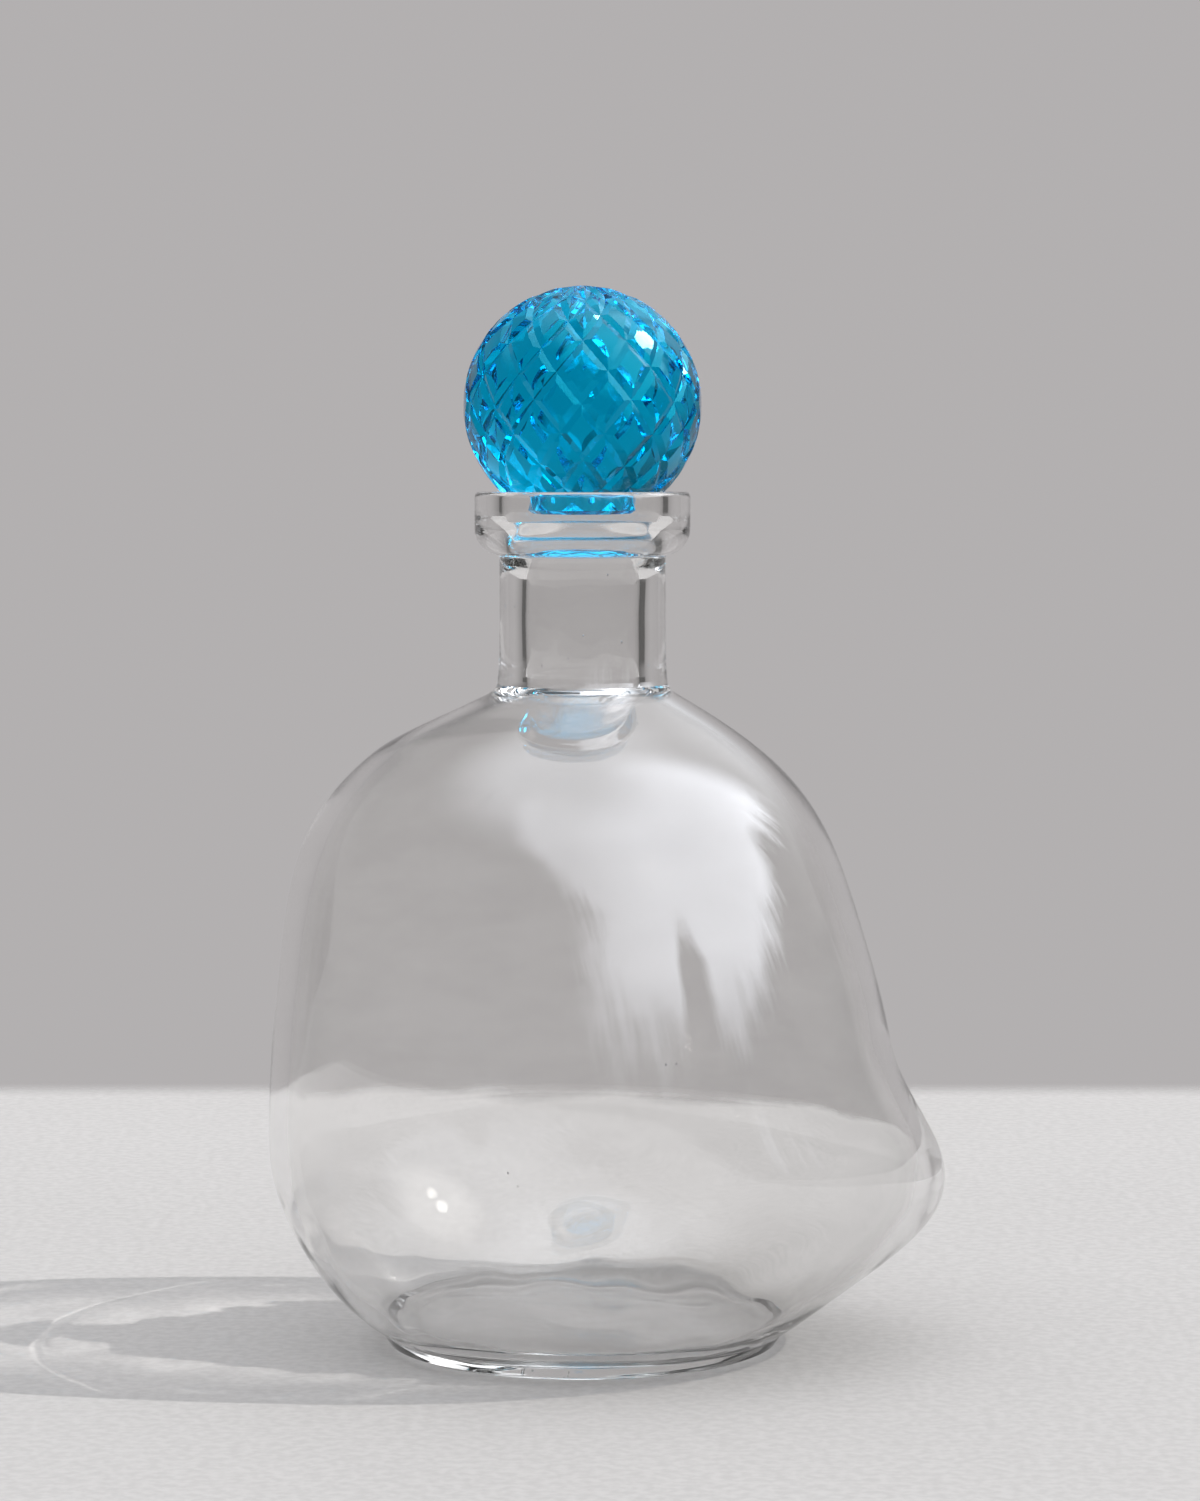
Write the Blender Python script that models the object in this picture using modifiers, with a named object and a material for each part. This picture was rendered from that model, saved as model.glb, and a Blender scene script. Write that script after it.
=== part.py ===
"""Stoppered decanter: a free-blown clear glass vessel closed by a loose ball of blue cut glass.

Metres, +Z up. The origin is the middle of the flat underside, and the neck's axis is Z.
The vessel's belly is pushed out low on +X, and its shoulder is full on -X.
"""

import math

import bmesh
import bpy
from mathutils import Vector
from mathutils.geometry import interpolate_bezier

# Blown body: the turned core
FOOT_RADIUS = 0.0394  # flat underside
FOOT_EDGE = 0.0028  # rounding between the underside and the side
FOOT_FLARE_OUT = 0.0096  # how the side leans out as it leaves the foot
FOOT_FLARE_UP = 0.0051
BELLY_RADIUS = 0.0664  # widest ring of the core
BELLY_HEIGHT = 0.0436
BELLY_ROUND_BELOW = 0.0180  # how long the side stays upright under and over the widest ring
BELLY_ROUND_ABOVE = 0.0650
BODY_HEIGHT = 0.1390  # underside to the seam with the neck
SHOULDER_SLOPE_OUT = 0.0300  # how the shoulder leaves the seam
SHOULDER_SLOPE_DOWN = 0.0177

# Blown body: the hollow
BODY_WALL = 0.0040
FLOOR_THICKNESS = 0.0060
FLOOR_RADIUS = 0.0395  # flat inside floor
FLOOR_FLARE_OUT = 0.0070  # how the inside leaves the floor
FLOOR_FLARE_UP = 0.0020
INSIDE_ROUND_BELOW = 0.0175  # how long the inside stays upright under and over the widest ring
INSIDE_ROUND_ABOVE = 0.0670

# Blown body: where the hot bubble was pushed out of round
BELLY_PUSH = 0.0116
BELLY_PUSH_HEIGHT = 0.0320
BELLY_PUSH_REACH_DOWN = 0.0284
BELLY_PUSH_REACH_UP = 0.0332
BELLY_PUSH_FOCUS = 6  # the higher, the less of the ring is pushed
SHOULDER_PUSH = 0.0055
SHOULDER_PUSH_DROP = 0.0135  # below the seam with the neck
SHOULDER_PUSH_REACH_DOWN = 0.0540
SHOULDER_PUSH_FOCUS = 2
FLANK_HOLLOW = 0.0030
FLANK_HOLLOW_HEIGHT = 0.0938
FLANK_HOLLOW_REACH = 0.0400

# Neck tube
BORE_RADIUS = 0.0121
NECK_WALL = 0.0054
NECK_LENGTH = 0.0275
NECK_FLARE = 0.0005  # widening at the foot of the neck
NECK_FLARE_LENGTH = 0.0060

# Mouth collar
CUP_RADIUS = 0.0170
COLLAR_WALL = 0.0057
COLLAR_HEIGHT = 0.0133
COLLAR_UNDER = 0.0055  # height of the rounded underside
CUP_RISE = 0.0076  # height in the collar of the funnel that leads into the bore
FUNNEL_DROP = 0.0054  # how far the funnel runs down into the neck
FUNNEL_MOUTH = 0.0015  # how much wider than the bore it is at the seam
LIP_ROUND = 0.0012

# Ball stopper
BALL_RADIUS = 0.0250
BALL_FLAT_DROP = 0.0004  # ground flat under the ball, below the ring that touches the lip
STUB_LENGTH = 0.0045  # short stub under the flat, which hangs in the cup
STUB_CLEARANCE = 0.0055  # between the stub and the cup's wall
STUB_BEVEL = 0.0010
STUB_ROOT = 0.0040  # how far the stub runs on into the ball
CUTS_ROUND = 15  # mitre cuts in each of the two slanting directions
CUT_TIERS = 6
CUT_WIDTH = 0.0017
CUT_DEPTH = 0.0004

# Fits
SEAM_GAP = 0.0003  # between the gathers that were joined hot
SEAT_GAP = 0.0003  # between the ball and the lip that carries it

# Glass
CLEAR_COLOUR = (0.94, 0.95, 0.95)
CLEAR_ROUGHNESS = 0.02
CLEAR_IOR = 1.50
BLUE_COLOUR = (0.01, 0.27, 0.45)
BLUE_ROUGHNESS = 0.03
BLUE_IOR = 1.52

# Fineness
BODY_SEGMENTS = 40
RING_SEGMENTS = 40
BODY_RING_SPACING = 0.0055
CURVE_STEPS = 96  # of each curve before its points are spaced evenly
ARC_POINTS = 5

# Levels and radii that follow from the sizes above
NECK_RADIUS = BORE_RADIUS + NECK_WALL
NECK_ROOT_RADIUS = NECK_RADIUS + NECK_FLARE
NECK_BOTTOM = BODY_HEIGHT + SEAM_GAP
NECK_TOP = NECK_BOTTOM + NECK_LENGTH
COLLAR_RADIUS = CUP_RADIUS + COLLAR_WALL
COLLAR_BOTTOM = NECK_TOP + SEAM_GAP
FUNNEL_RADIUS = BORE_RADIUS + FUNNEL_MOUTH
LIP_TOP = COLLAR_BOTTOM + COLLAR_HEIGHT
SEAT_RING_RADIUS = CUP_RADIUS + LIP_ROUND
SEAT_REACH = BALL_RADIUS + LIP_ROUND + SEAT_GAP
BALL_HEIGHT = LIP_TOP - LIP_ROUND + math.sqrt(SEAT_REACH**2 - SEAT_RING_RADIUS**2)
SEAT_LEVEL = (LIP_TOP - LIP_ROUND - BALL_HEIGHT) * BALL_RADIUS / SEAT_REACH  # from the ball's centre
BALL_FLAT_LEVEL = SEAT_LEVEL - BALL_FLAT_DROP
STUB_RADIUS = CUP_RADIUS - STUB_CLEARANCE

MERGE = 0.00001
SMOOTH_ANGLE = math.radians(35)


def clear_scene():
    for obj in list(bpy.data.objects):
        bpy.data.objects.remove(obj, do_unlink=True)


def new_collection(name):
    collection = bpy.data.collections.new(name)
    bpy.context.scene.collection.children.link(collection)
    return collection


def glass(name, colour, roughness, ior):
    material = bpy.data.materials.new(name)
    material.use_nodes = True
    shader = material.node_tree.nodes["Principled BSDF"]
    shader.inputs["Base Color"].default_value = (*colour, 1.0)
    shader.inputs["Roughness"].default_value = roughness
    shader.inputs["Metallic"].default_value = 0.0
    shader.inputs["Transmission Weight"].default_value = 1.0
    shader.inputs["IOR"].default_value = ior
    return material


def curve_points(start, start_handle, end_handle, end):
    """Evenly spaced points of one cubic curve in the (radius, height) plane."""
    knots = [Vector((*point, 0.0)) for point in (start, start_handle, end_handle, end)]
    fine = interpolate_bezier(*knots, CURVE_STEPS)
    lengths = [0.0]
    for before, after in zip(fine, fine[1:]):
        lengths.append(lengths[-1] + (after - before).length)
    count = max(2, round(lengths[-1] / BODY_RING_SPACING))
    points = []
    for step in range(count + 1):
        wanted = lengths[-1] * step / count
        nearest = min(range(len(fine)), key=lambda i: abs(lengths[i] - wanted))
        points.append((fine[nearest].x, fine[nearest].y))
    return points


def arc_points(centre, radii, first_degrees, last_degrees, count=ARC_POINTS):
    """Points of an elliptical arc in the (radius, height) plane."""
    points = []
    for step in range(count):
        turn = math.radians(first_degrees + (last_degrees - first_degrees) * step / (count - 1))
        points.append((centre[0] + radii[0] * math.cos(turn), centre[1] + radii[1] * math.sin(turn)))
    return points


def turned(name, outline, closed, segments):
    """A (radius, height) outline turned about Z. It runs down its outer side."""
    mesh = bpy.data.meshes.new(name)
    edges = [(i, i + 1) for i in range(len(outline) - 1)]
    if closed:
        edges.append((len(outline) - 1, 0))
    mesh.from_pydata([(radius, 0.0, height) for radius, height in outline], edges, [])
    obj = bpy.data.objects.new(name, mesh)
    screw = obj.modifiers.new("turn", "SCREW")
    screw.axis = "Z"
    screw.angle = 2 * math.pi
    screw.steps = segments
    screw.render_steps = segments
    screw.use_merge_vertices = True
    screw.merge_threshold = MERGE
    screw.use_smooth_shade = True
    return obj


def evaluated_mesh(obj):
    bpy.context.scene.collection.objects.link(obj)
    bpy.context.view_layer.update()
    graph = bpy.context.evaluated_depsgraph_get()
    mesh = bpy.data.meshes.new_from_object(obj.evaluated_get(graph))
    bpy.data.objects.remove(obj, do_unlink=True)
    return mesh


def swell(height, middle, reach_down, reach_up):
    """1 at the middle height, falling smoothly to 0 at the ends of the reach."""
    if height < middle:
        share = (middle - height) / reach_down
    else:
        share = (height - middle) / reach_up
    return math.cos(min(share, 1.0) * math.pi / 2) ** 2


def push_at(point):
    """How far the hot glass was pushed outwards at a point of the body."""
    around = math.atan2(point.y, point.x)
    towards_belly = ((1 + math.cos(around)) / 2) ** BELLY_PUSH_FOCUS
    towards_shoulder = ((1 - math.cos(around)) / 2) ** SHOULDER_PUSH_FOCUS
    belly = BELLY_PUSH * swell(
        point.z, BELLY_PUSH_HEIGHT, BELLY_PUSH_REACH_DOWN, BELLY_PUSH_REACH_UP
    )
    hollow = FLANK_HOLLOW * swell(
        point.z, FLANK_HOLLOW_HEIGHT, FLANK_HOLLOW_REACH, FLANK_HOLLOW_REACH
    )
    shoulder = SHOULDER_PUSH * swell(
        point.z, BODY_HEIGHT - SHOULDER_PUSH_DROP, SHOULDER_PUSH_REACH_DOWN, SHOULDER_PUSH_DROP
    )
    return (belly - hollow) * towards_belly + shoulder * towards_shoulder


def body_outline():
    inside_radius = BELLY_RADIUS - BODY_WALL
    inside_lower = curve_points(
        (FLOOR_RADIUS, FLOOR_THICKNESS),
        (FLOOR_RADIUS + FLOOR_FLARE_OUT, FLOOR_THICKNESS + FLOOR_FLARE_UP),
        (inside_radius, BELLY_HEIGHT - INSIDE_ROUND_BELOW),
        (inside_radius, BELLY_HEIGHT),
    )
    inside_upper = curve_points(
        (inside_radius, BELLY_HEIGHT),
        (inside_radius, BELLY_HEIGHT + INSIDE_ROUND_ABOVE),
        (BORE_RADIUS + SHOULDER_SLOPE_OUT, BODY_HEIGHT - SHOULDER_SLOPE_DOWN),
        (BORE_RADIUS, BODY_HEIGHT),
    )
    upper = curve_points(
        (NECK_ROOT_RADIUS, BODY_HEIGHT),
        (NECK_ROOT_RADIUS + SHOULDER_SLOPE_OUT, BODY_HEIGHT - SHOULDER_SLOPE_DOWN),
        (BELLY_RADIUS, BELLY_HEIGHT + BELLY_ROUND_ABOVE),
        (BELLY_RADIUS, BELLY_HEIGHT),
    )
    side_foot = (FOOT_RADIUS + FOOT_EDGE, FOOT_EDGE)
    lower = curve_points(
        (BELLY_RADIUS, BELLY_HEIGHT),
        (BELLY_RADIUS, BELLY_HEIGHT - BELLY_ROUND_BELOW),
        (side_foot[0] + FOOT_FLARE_OUT, side_foot[1] + FOOT_FLARE_UP),
        side_foot,
    )
    edge = arc_points((FOOT_RADIUS, FOOT_EDGE), (FOOT_EDGE, FOOT_EDGE), 0, -90)
    inside = [(0.0, FLOOR_THICKNESS), *inside_lower, *inside_upper[1:]]
    outside = [*upper, *lower[1:], *edge[1:], (0.0, 0.0)]
    return inside + outside


def blown_body():
    mesh = evaluated_mesh(turned("blown_body", body_outline(), False, BODY_SEGMENTS))
    for vertex in mesh.vertices:
        out = Vector((vertex.co.x, vertex.co.y, 0.0))
        if out.length > MERGE:
            vertex.co += out.normalized() * push_at(vertex.co)
    mesh.name = "blown_body"
    return bpy.data.objects.new("blown_body", mesh)


def neck_tube():
    outline = [
        (NECK_RADIUS, NECK_TOP),
        (NECK_RADIUS, NECK_BOTTOM + NECK_FLARE_LENGTH),
        (NECK_RADIUS + NECK_FLARE / 4, NECK_BOTTOM + NECK_FLARE_LENGTH / 2),
        (NECK_ROOT_RADIUS, NECK_BOTTOM),
        (BORE_RADIUS, NECK_BOTTOM),
        (BORE_RADIUS, COLLAR_BOTTOM - FUNNEL_DROP),
        (FUNNEL_RADIUS, NECK_TOP),
    ]
    return turned("neck_tube", outline, True, RING_SEGMENTS)


def mouth_collar():
    lip = (LIP_ROUND, LIP_ROUND)
    lip_centre = LIP_TOP - LIP_ROUND
    under = (COLLAR_RADIUS - NECK_RADIUS, COLLAR_UNDER)
    outline = [
        *arc_points((COLLAR_RADIUS - LIP_ROUND, lip_centre), lip, 90, 0),
        *arc_points((NECK_RADIUS, COLLAR_BOTTOM + COLLAR_UNDER), under, 0, -90),
        (FUNNEL_RADIUS, COLLAR_BOTTOM),
        (CUP_RADIUS, COLLAR_BOTTOM + CUP_RISE),
        *arc_points((SEAT_RING_RADIUS, lip_centre), lip, 180, 90),
    ]
    return turned("mouth_collar", outline, True, RING_SEGMENTS)


def on_sphere(vertices, radius):
    for vertex in vertices:
        vertex.co = vertex.co.normalized() * radius


def stopper_stub():
    """A short cylinder with a bevelled lower edge, from inside the ball down into the cup."""
    shape = bmesh.new()
    bmesh.ops.create_cone(
        shape,
        cap_ends=True,
        segments=RING_SEGMENTS,
        radius1=STUB_RADIUS,
        radius2=STUB_RADIUS,
        depth=STUB_ROOT + STUB_LENGTH,
    )
    lower_edge = [edge for edge in shape.edges if all(vertex.co.z < 0.0 for vertex in edge.verts)]
    bmesh.ops.bevel(shape, geom=lower_edge, offset=STUB_BEVEL, segments=1, affect="EDGES")
    mesh = bpy.data.meshes.new("stopper_stub")
    shape.to_mesh(mesh)
    shape.free()
    stub = bpy.data.objects.new("stopper_stub", mesh)
    stub.location = (0.0, 0.0, BALL_HEIGHT + BALL_FLAT_LEVEL + (STUB_ROOT - STUB_LENGTH) / 2)
    stub.hide_render = True
    stub.display_type = "WIRE"
    return stub


def stopper_ball(stub):
    """A ball crossed by two sets of slanting mitre cuts, which leave lozenges of the sphere.

    It is ground flat just below the ring that touches the lip, and the stub is joined to it.
    """
    shape = bmesh.new()
    bmesh.ops.create_uvsphere(shape, u_segments=CUTS_ROUND, v_segments=CUT_TIERS, radius=BALL_RADIUS)
    upright_grid = shape.edges[:]
    bmesh.ops.poke(shape, faces=shape.faces[:])
    bmesh.ops.dissolve_edges(shape, edges=upright_grid, use_verts=False)
    cut_lines = shape.verts[:]
    lozenges = shape.faces[:]
    bmesh.ops.inset_individual(shape, faces=lozenges, thickness=CUT_WIDTH / 2, use_even_offset=True)
    bmesh.ops.poke(shape, faces=lozenges)
    on_sphere(shape.verts, BALL_RADIUS)
    on_sphere(cut_lines, BALL_RADIUS - CUT_DEPTH)
    bmesh.ops.bisect_plane(
        shape,
        geom=shape.verts[:] + shape.edges[:] + shape.faces[:],
        plane_co=(0.0, 0.0, BALL_FLAT_LEVEL),
        plane_no=(0.0, 0.0, -1.0),
        clear_outer=True,
    )
    bmesh.ops.holes_fill(shape, edges=[edge for edge in shape.edges if edge.is_boundary])
    bmesh.ops.recalc_face_normals(shape, faces=shape.faces[:])
    mesh = bpy.data.meshes.new("stopper_ball")
    shape.to_mesh(mesh)
    shape.free()
    ball = bpy.data.objects.new("stopper_ball", mesh)
    ball.location = (0.0, 0.0, BALL_HEIGHT)
    union = ball.modifiers.new("stub", "BOOLEAN")
    union.operation = "UNION"
    union.object = stub
    return ball


def shade_round(mesh):
    mesh.shade_smooth()
    mesh.set_sharp_from_angle(angle=SMOOTH_ANGLE)


def main():
    clear_scene()
    parts = new_collection("stoppered_decanter")
    joined_shapes = new_collection("joined_shapes")
    vessel = bpy.data.objects.new("vessel", None)
    parts.objects.link(vessel)

    body = blown_body()
    shade_round(body.data)
    body.data.materials.append(glass("body_glass", CLEAR_COLOUR, CLEAR_ROUGHNESS, CLEAR_IOR))
    neck = neck_tube()
    neck.data.materials.append(glass("neck_glass", CLEAR_COLOUR, CLEAR_ROUGHNESS, CLEAR_IOR))
    collar = mouth_collar()
    collar.data.materials.append(glass("collar_glass", CLEAR_COLOUR, CLEAR_ROUGHNESS, CLEAR_IOR))
    for piece in (body, neck, collar):
        parts.objects.link(piece)
        piece.parent = vessel

    stub = stopper_stub()
    joined_shapes.objects.link(stub)
    ball = stopper_ball(stub)
    ball.data.materials.append(glass("ball_glass", BLUE_COLOUR, BLUE_ROUGHNESS, BLUE_IOR))
    parts.objects.link(ball)


main()
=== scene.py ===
# %% [markdown]
# A stoppered decanter is two things: a vessel of clear glass that was blown and pushed out of round
# while it was hot, and a heavy ball of blue cut glass that rests in its rim. The frame holds both as
# plain solids at their real size. Here each is made again as glass that light can pass through.
# Everything is in metres, +Z is up, the neck stands on the Z axis and the viewer is on the -Y side.

# %% Load the frame
import math
import random

import bmesh
import bpy
import numpy as np
from mathutils import Matrix, Vector, noise


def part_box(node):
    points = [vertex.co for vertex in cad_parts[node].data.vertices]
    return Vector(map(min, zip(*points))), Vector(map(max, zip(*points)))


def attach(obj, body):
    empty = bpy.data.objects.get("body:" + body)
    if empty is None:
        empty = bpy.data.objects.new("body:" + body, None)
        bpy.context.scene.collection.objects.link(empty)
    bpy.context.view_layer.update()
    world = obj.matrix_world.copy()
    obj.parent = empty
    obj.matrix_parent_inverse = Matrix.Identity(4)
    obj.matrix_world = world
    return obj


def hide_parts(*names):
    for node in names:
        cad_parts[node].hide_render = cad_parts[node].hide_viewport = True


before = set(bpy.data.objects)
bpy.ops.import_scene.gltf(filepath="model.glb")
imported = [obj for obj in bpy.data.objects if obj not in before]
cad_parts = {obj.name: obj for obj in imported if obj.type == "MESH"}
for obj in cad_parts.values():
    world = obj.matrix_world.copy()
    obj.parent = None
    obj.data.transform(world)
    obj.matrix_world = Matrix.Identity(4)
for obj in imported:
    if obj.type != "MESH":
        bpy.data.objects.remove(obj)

scene = bpy.context.scene
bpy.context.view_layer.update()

# %% [markdown]
# The camera comes first, because every other choice is judged through it. A long lens from about
# 0.9 m away keeps the neck's sides upright. Its height and tilt follow from the row of the picture
# at which level lines vanish, so no part of the glass has to be bent to fit the view.

# %% Camera
PICTURE_WIDTH = 1200  # pixels
PICTURE_HEIGHT = 1501
LENS_PIXELS = 4300.0  # focal length in pixels of the picture
LEVEL_ROW = 460.0  # row at the camera's own height
AXIS_COLUMN = 582.5  # column of the neck's axis
CAMERA_BACK = 0.905
CAMERA_HEIGHT = 0.187

camera = bpy.data.objects.new("camera", bpy.data.cameras.new("camera"))
scene.collection.objects.link(camera)
scene.camera = camera
camera.data.lens = camera.data.sensor_width * LENS_PIXELS / PICTURE_HEIGHT
tilt = math.atan((PICTURE_HEIGHT / 2 - LEVEL_ROW) / LENS_PIXELS)
aside = (PICTURE_WIDTH / 2 - AXIS_COLUMN) / LENS_PIXELS * CAMERA_BACK
camera.location = (aside, -CAMERA_BACK, CAMERA_HEIGHT)
camera.rotation_euler = (math.pi / 2 - tilt, 0.0, 0.0)
scene.view_settings.view_transform = "Standard"
print("lens", round(camera.data.lens, 1), "mm, tilted down", round(math.degrees(tilt), 2), "degrees")

# %% [markdown]
# The vessel is first drawn as half of its section: a line of (radius, height) points that starts
# under the foot, climbs the outside, turns over the lip and comes down the inside. Three helpers
# draw it: a cubic curve, an elliptical arc and a straight run.

# %% Lines of the section
CURVE_POINTS = 160


def curve(start, start_handle, end_handle, end):
    share = np.linspace(0.0, 1.0, CURVE_POINTS)[:, None]
    rest = 1.0 - share
    knots = [np.array(knot) for knot in (start, start_handle, end_handle, end)]
    weights = (rest**3, 3 * rest**2 * share, 3 * rest * share**2, share**3)
    return sum(weight * knot for weight, knot in zip(weights, knots))


def arc(centre, radii, first_degrees, last_degrees):
    turn = np.radians(np.linspace(first_degrees, last_degrees, CURVE_POINTS))
    return np.stack([centre[0] + radii[0] * np.cos(turn), centre[1] + radii[1] * np.sin(turn)], 1)


def straight(start, end):
    return np.linspace(start, end, CURVE_POINTS)


def lengths_along(points):
    steps = np.linalg.norm(np.diff(points[:, :2], axis=0), axis=1)
    return np.concatenate([[0.0], np.cumsum(steps)])


def points_at(points, places):
    lengths = lengths_along(points)
    return np.stack([np.interp(places, lengths, column) for column in points.T], 1)


print("a quarter arc of 10 mm is", round(lengths_along(arc((0, 0), (10, 10), 0, 90))[-1], 2), "mm long")

# %% [markdown]
# Glass that was joined hot has no sharp corners: where the neck meets the shoulder, surface tension
# draws a small round. A Bevel modifier could round such edges afterwards. It is simpler to ease the
# corner in the section, by cutting both runs back a little and bridging them with a small curve.

# %% Join runs with eased corners
EASE_POINTS = 24
UNEASED = 0.0


def joined(first, second, ease):
    if ease == UNEASED:
        return np.concatenate([first, second[1:]])
    first_end = lengths_along(first)[-1]
    second_end = lengths_along(second)[-1]
    before = points_at(first, np.linspace(0.0, first_end - ease, CURVE_POINTS))
    after = points_at(second, np.linspace(ease, second_end, CURVE_POINTS))
    share = np.linspace(0.0, 1.0, EASE_POINTS)[:, None]
    bend = before[-1] * (1 - share) ** 2 + first[-1] * 2 * share * (1 - share) + after[0] * share**2
    return np.concatenate([before, bend[1:-1], after])


def chained(line, *runs):
    """A line that goes on through runs, each with the ease of the corner before it."""
    for run, ease in runs:
        line = joined(line, run, ease)
    return line


print("an eased corner has", EASE_POINTS, "points")

# %% [markdown]
# The sizes below are those of the solids. Levels and radii that can be read from the frame are read
# there. The handles of the curves and the pushes are repeated here, because a curve can't be read
# back from a faceted solid.

# %% Sizes of the vessel
BELLY_RADIUS = 0.0664
BELLY_HEIGHT = 0.0436
BELLY_ROUND_BELOW = 0.0180
BELLY_ROUND_ABOVE = 0.0650
FOOT_RADIUS = 0.0394
FOOT_EDGE = 0.0028
FOOT_FLARE = (0.0096, 0.0051)
SHOULDER_SLOPE = (0.0300, -0.0177)
BODY_WALL = 0.0040
FLOOR_THICKNESS = 0.0060
FLOOR_RADIUS = 0.0395
FLOOR_FLARE = (0.0070, 0.0020)
INSIDE_ROUND_BELOW = 0.0175
INSIDE_ROUND_ABOVE = 0.0670
BORE_RADIUS = 0.0121
NECK_RADIUS = 0.0175
NECK_FLARE_LENGTH = 0.0060
CUP_RADIUS = 0.0170
COLLAR_UNDER = 0.0055
CUP_RISE = 0.0076
LIP_ROUND = 0.0012

BODY_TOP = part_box("blown_body")[1].z
NECK_ROOT_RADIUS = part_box("neck_tube")[1].x
COLLAR_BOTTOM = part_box("mouth_collar")[0].z
COLLAR_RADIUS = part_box("mouth_collar")[1].x
LIP_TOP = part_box("mouth_collar")[1].z
print("neck from", round(BODY_TOP, 4), "to", round(COLLAR_BOTTOM, 4), "lip at", round(LIP_TOP, 4))

# %% [markdown]
# Hand-blown glass is never quite even. Each run of the section carries two more numbers besides
# radius and height: how far its surface may swell and sink in broad waves and in fine ones. The
# underside and the lip have none, because one has to stand flat and the other carries the ball.

# %% Waves of each run
BROAD_WAVES = 0.030  # wavelength
FINE_WAVES = 0.009
STILL = (0.0, 0.0)  # how far broad and fine waves move a surface
OUTSIDE = (0.00003, 0.00001)
INSIDE = (0.00003, 0.00001)
LOW_OUTSIDE = (0.00020, 0.00007)
LOW_INSIDE = (0.00030, 0.00011)
LOW_FADE = 0.012  # drop below the widest ring over which the waves grow
FLOOR_INSIDE = (0.00030, 0.00006)
NECK_OUTSIDE = (0.00012, 0.00003)
BORE = (0.00030, 0.00008)
CUP_INSIDE = (0.00024, 0.00010)


def waved(points, waves):
    return np.concatenate([points, np.tile(waves, (len(points), 1))], 1)


def waved_low(points, calm, wild):
    """Waves that grow from calm to wild on the way down from the widest ring."""
    share = np.clip((BELLY_HEIGHT - points[:, 1:2]) / LOW_FADE, 0.0, 1.0)
    return np.concatenate([points, np.array(calm) * (1 - share) + np.array(wild) * share], 1)


print("waves of", BROAD_WAVES * 1000, "and", FINE_WAVES * 1000, "mm")

# %% [markdown]
# Now the section itself, the outside first: underside, foot, side, shoulder, neck, collar and lip.
# The seams where neck and collar were stuck on get a small ease, and the other runs meet smoothly.

# %% Outside of the section
SEAM_EASE = 0.0009
COLLAR_EASE = 0.0007
foot_side = (FOOT_RADIUS + FOOT_EDGE, FOOT_EDGE)
belly = (BELLY_RADIUS, BELLY_HEIGHT)
shoulder_top = (NECK_ROOT_RADIUS, BODY_TOP)
neck_side = (NECK_RADIUS, BODY_TOP + NECK_FLARE_LENGTH)
under_centre = (NECK_RADIUS, COLLAR_BOTTOM + COLLAR_UNDER)
under_radii = (COLLAR_RADIUS - NECK_RADIUS, COLLAR_UNDER)
lip_level = LIP_TOP - LIP_ROUND
lip_radii = (LIP_ROUND, LIP_ROUND)

underside = straight((0.0, 0.0), (FOOT_RADIUS, 0.0))
foot_edge = arc((FOOT_RADIUS, FOOT_EDGE), (FOOT_EDGE, FOOT_EDGE), -90, 0)
lower_side = curve(
    foot_side,
    (foot_side[0] + FOOT_FLARE[0], foot_side[1] + FOOT_FLARE[1]),
    (BELLY_RADIUS, BELLY_HEIGHT - BELLY_ROUND_BELOW),
    belly,
)
upper_side = curve(
    belly,
    (BELLY_RADIUS, BELLY_HEIGHT + BELLY_ROUND_ABOVE),
    (NECK_ROOT_RADIUS + SHOULDER_SLOPE[0], BODY_TOP + SHOULDER_SLOPE[1]),
    shoulder_top,
)
neck_foot = curve(shoulder_top, neck_side, neck_side, neck_side)
neck_run = straight(neck_side, (NECK_RADIUS, COLLAR_BOTTOM))
collar_under = arc(under_centre, under_radii, -90, 0)
collar_side = straight((COLLAR_RADIUS, under_centre[1]), (COLLAR_RADIUS, lip_level))
lip_outside = arc((COLLAR_RADIUS - LIP_ROUND, lip_level), lip_radii, 0, 90)

outside = chained(
    waved(underside, STILL),
    (waved(foot_edge, STILL), UNEASED),
    (waved_low(lower_side, OUTSIDE, LOW_OUTSIDE), UNEASED),
    (waved(upper_side, OUTSIDE), UNEASED),
    (waved(neck_foot, NECK_OUTSIDE), SEAM_EASE),
    (waved(neck_run, NECK_OUTSIDE), UNEASED),
    (waved(collar_under, NECK_OUTSIDE), COLLAR_EASE),
    (waved(collar_side, STILL), UNEASED),
    (waved(lip_outside, STILL), UNEASED),
)
print("outside line", round(lengths_along(outside)[-1] * 1000), "mm long")

# %% [markdown]
# The inside comes down from the lip. The cup of the collar narrows in a soft funnel to the bore, and
# the bore opens into the shoulder. The wall keeps about the same thickness as far as the belly, and
# then thickens into a heavy floor.

# %% Inside of the section
BORE_EASE = 0.0016
FLOOR_EASE = 0.0040
FUNNEL_DROP = 0.0054  # how far the cup's funnel runs down into the neck
FUNNEL_SLOPE = (-0.0016, -0.0040)  # how it leaves the cup's wall
FUNNEL_END = 0.0030  # how long it stays upright as it reaches the bore
CUP_EASE = 0.0005
inside_belly = (BELLY_RADIUS - BODY_WALL, BELLY_HEIGHT)
bore_bottom = (BORE_RADIUS, BODY_TOP)
cup_foot = (CUP_RADIUS, COLLAR_BOTTOM + CUP_RISE)
bore_top = (BORE_RADIUS, COLLAR_BOTTOM - FUNNEL_DROP)
floor_edge = (FLOOR_RADIUS, FLOOR_THICKNESS)

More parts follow.
